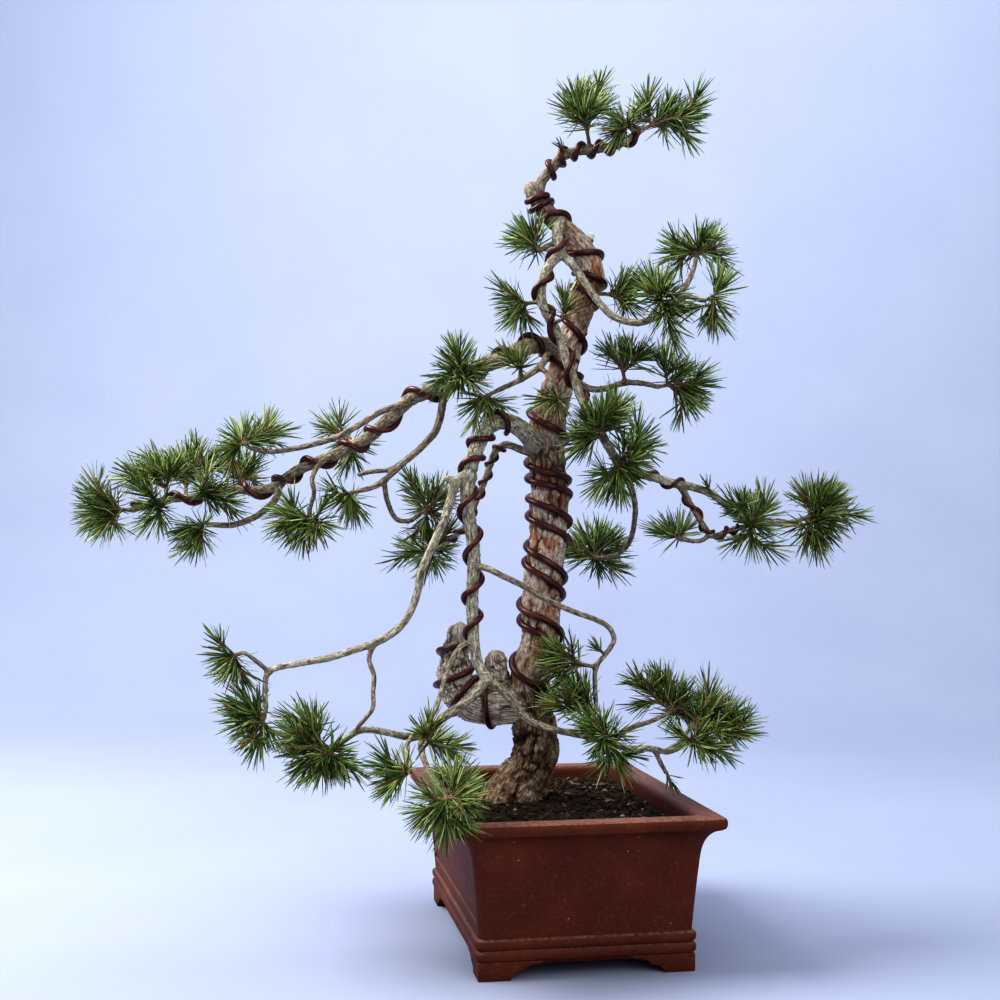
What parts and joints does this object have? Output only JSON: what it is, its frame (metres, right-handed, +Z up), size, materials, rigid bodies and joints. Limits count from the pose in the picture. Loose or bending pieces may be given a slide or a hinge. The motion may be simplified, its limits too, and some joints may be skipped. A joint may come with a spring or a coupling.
{
  "type": "scots pine bonsai",
  "caption": "Slanting pine bonsai with a long left branch, cascading branches, training wires and tufts of paired needles, in a rectangular unglazed clay pot.",
  "frame": {"origin": "on the ground, under the middle of the bounding box of the whole plant", "axes": "+Z up; X along the pot's short side and Y along its long side, with the tree's front towards -Y"},
  "size_m": [0.7026, 0.354, 0.7549],
  "materials": {
    "clay": "unglazed, matt, finely speckled",
    "soil": "granular, matt",
    "bark": "rough flaking bark",
    "wire": "brown anodised, satin",
    "needle": "waxy living needles"
  },
  "bodies": {
    "root": {"needles_apex_front": "needle", "needles_apex_right": "needle", "needles_apex_up": "needle", "needles_bend": "needle", "needles_burl_right": "needle", "needles_crown_left": "needle", "needles_drop_end": "needle", "needles_drop_right": "needle", "needles_fork_low_left": "needle", "needles_fork_low_right": "needle", "needles_front_star": "needle", "needles_hang_down_end": "needle", "needles_hang_right_end": "needle", "needles_heart_lower": "needle", "needles_heart_upper": "needle", "needles_left_back": "needle", "needles_left_crown": "needle", "needles_left_far": "needle", "needles_left_front": "needle", "needles_left_low_end": "needle", "needles_left_middle": "needle", "needles_left_rear": "needle", "needles_left_tip": "needle", "needles_left_top_end": "needle", "needles_low_left_end": "needle", "needles_low_left_star": "needle", "needles_low_left_top": "needle", "needles_low_right_drop": "needle", "needles_low_right_end": "needle", "needles_low_right_left": "needle", "needles_low_right_middle": "needle", "needles_low_right_star": "needle", "needles_low_right_up": "needle", "needles_middle_right_end": "needle", "needles_middle_right_up": "needle", "needles_pad_end": "needle", "needles_pad_up": "needle", "needles_ridge_right": "needle", "needles_ridge_up": "needle", "needles_right_end": "needle", "needles_star_left": "needle", "needles_star_middle": "needle", "needles_thin_end": "needle", "needles_twig_end": "needle", "needles_upper_front": "needle", "needles_upper_left": "needle", "needles_wired_end": "needle", "pot": "clay", "soil": "soil", "wire_apex": "wire", "wire_big_left": "wire", "wire_cascade": "wire", "wire_crown": "wire", "wire_deadwood": "wire", "wire_grey_branch": "wire", "wire_right_branch": "wire", "wire_small_branch": "wire", "wire_trunk_first": "wire", "wire_trunk_second": "wire", "wood": "bark"}
  },
  "joints": []
}
